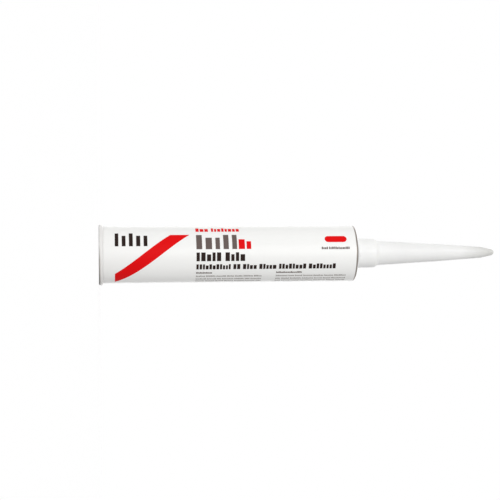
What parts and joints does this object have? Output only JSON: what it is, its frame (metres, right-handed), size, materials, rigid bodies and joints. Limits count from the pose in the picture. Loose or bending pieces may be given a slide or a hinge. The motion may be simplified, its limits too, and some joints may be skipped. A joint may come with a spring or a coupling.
{
  "type": "caulk tube",
  "caption": "Aluminium sealant cartridge with a rolled rear rim, sliding plunger, paste fill and a long closed screw-on nozzle, lying or standing.",
  "frame": {"origin": "centre of the plane that the rolled rear rim stands on", "axes": "+Z along the barrel's axis towards the nozzle's tip; the print faces -Y and reads along +Z, with its top edge towards -X"},
  "size_m": [0.0504, 0.0504, 0.3376],
  "materials": {
    "barrel_metal": "white gloss lacquer outside, bare aluminium at the rim and shoulder",
    "nozzle_plastic": "natural white polyethylene, slightly translucent, satin",
    "plunger_plastic": "natural polyethylene, satin",
    "sealant_paste": "black paste",
    "red_ink": "gloss red ink",
    "dark_ink": "gloss brown-black ink",
    "grey_ink": "gloss grey ink"
  },
  "bodies": {
    "barrel": {"barrel": "barrel_metal", "sealant": "sealant_paste", "red_print": "red_ink", "dark_print": "dark_ink", "grey_print": "grey_ink"},
    "plunger": {"plunger": "plunger_plastic"},
    "nozzle": {"nozzle": "nozzle_plastic"}
  },
  "joints": [
    {"name": "plunger_slide", "type": "slide", "parent": "barrel", "child": "plunger", "axis": [0, 0, 1], "range_m": [0, 0.1808], "deforming": ["sealant"]},
    {"name": "nozzle_unscrew", "type": "hinge", "parent": "barrel", "child": "nozzle", "pos_m": [0, 0, 0.2238], "axis": [0, 0, 1], "range_deg": [0, 1080]}
  ]
}
